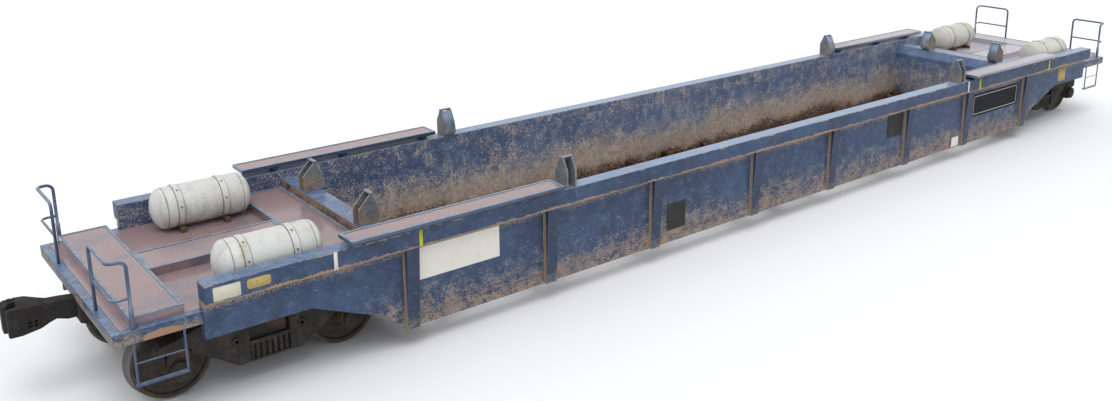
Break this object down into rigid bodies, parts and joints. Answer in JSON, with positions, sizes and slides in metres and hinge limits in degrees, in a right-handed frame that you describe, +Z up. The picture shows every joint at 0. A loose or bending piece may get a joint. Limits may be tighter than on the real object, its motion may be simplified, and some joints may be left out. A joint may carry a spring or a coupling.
{
  "type": "container well car",
  "caption": "Empty rail well car with a low well between ribbed side girders, end platforms with air tanks and handrails, corner guides, two trucks and knuckle couplers.",
  "frame": {"origin": "on the car's middle at the level of the wheel flange tips", "axes": "+X along the car, +Z up, +Y across to the left side"},
  "size_m": [19.8696, 3.24, 1.7979],
  "materials": {
    "side_paint": "weathered",
    "sill_rust": "rusted",
    "cover_grey": "dull",
    "edge_blue": "weathered",
    "rib_dark": "weathered",
    "floor_rust": "rusted",
    "deck_tread": "rusted tread",
    "under_dark": "weathered",
    "coupler_cast": "cast",
    "tank_cream": "satin",
    "band_brown": "rusted",
    "board_dark": "satin",
    "truck_cast": "cast",
    "bearing_steel": "cast",
    "wheel_steel": "worn",
    "sign_cream": "satin"
  },
  "bodies": {
    "carbody": {"air_tanks": "tank_cream", "body_bolsters": "under_dark", "bulkhead_beams": "side_paint", "bulkhead_guide_caps": "side_paint", "bulkhead_guide_plates": "side_paint", "bulkhead_walkways": "deck_tread", "bulkhead_walls": "floor_rust", "centre_walkways": "deck_tread", "chord_guide_caps": "side_paint", "chord_guide_plates": "side_paint", "container_pedestals": "floor_rust", "coupler_knuckles": "coupler_cast", "couplers": "coupler_cast", "cover_plates": "cover_grey", "deck_plates": "deck_tread", "draft_sills": "under_dark", "end_sills": "side_paint", "end_walkways": "deck_tread", "floor_braces": "floor_rust", "floor_crossbearers": "floor_rust", "floor_ledges": "floor_rust", "handrails": "side_paint", "number_boards": "sign_cream", "platform_side_bars": "side_paint", "running_board_brackets": "side_paint", "running_board_edges": "edge_blue", "running_boards": "deck_tread", "side_ribs": "rib_dark", "side_sheets": "side_paint", "side_sills": "sill_rust", "side_steps": "side_paint", "sign_boards": "board_dark", "tank_bands": "band_brown", "tank_feet": "band_brown", "top_chords": "side_paint", "walkway_edges": "edge_blue"},
    "truck_near": {"truck_near_bearings": "bearing_steel", "truck_near_bolster": "truck_cast", "truck_near_brake_beams": "truck_cast", "truck_near_side_frames": "truck_cast", "truck_near_springs": "truck_cast"},
    "truck_far": {"truck_far_bearings": "bearing_steel", "truck_far_bolster": "truck_cast", "truck_far_brake_beams": "truck_cast", "truck_far_side_frames": "truck_cast", "truck_far_springs": "truck_cast"},
    "wheelset_near_outer": {"axle_near_outer": "wheel_steel", "wheels_near_outer": "wheel_steel"},
    "wheelset_near_inner": {"axle_near_inner": "wheel_steel", "wheels_near_inner": "wheel_steel"},
    "wheelset_far_inner": {"axle_far_inner": "wheel_steel", "wheels_far_inner": "wheel_steel"},
    "wheelset_far_outer": {"axle_far_outer": "wheel_steel", "wheels_far_outer": "wheel_steel"}
  },
  "joints": [
    {"name": "truck_near_swivel", "type": "hinge", "parent": "carbody", "child": "truck_near", "pos_m": [-7.745, 0, 0.735], "axis": [0, 0, 1], "range_deg": [-5, 5]},
    {"name": "truck_far_swivel", "type": "hinge", "parent": "carbody", "child": "truck_far", "pos_m": [7.745, 0, 0.735], "axis": [0, 0, 1], "range_deg": [-5, 5]},
    {"name": "wheelset_near_outer_roll", "type": "hinge", "parent": "truck_near", "child": "wheelset_near_outer", "pos_m": [-8.6595, 0, 0.427], "axis": [0, 1, 0], "continuous": true},
    {"name": "wheelset_near_inner_roll", "type": "hinge", "parent": "truck_near", "child": "wheelset_near_inner", "pos_m": [-6.8305, 0, 0.427], "axis": [0, 1, 0], "continuous": true},
    {"name": "wheelset_far_inner_roll", "type": "hinge", "parent": "truck_far", "child": "wheelset_far_inner", "pos_m": [6.8305, 0, 0.427], "axis": [0, 1, 0], "continuous": true},
    {"name": "wheelset_far_outer_roll", "type": "hinge", "parent": "truck_far", "child": "wheelset_far_outer", "pos_m": [8.6595, 0, 0.427], "axis": [0, 1, 0], "continuous": true}
  ]
}
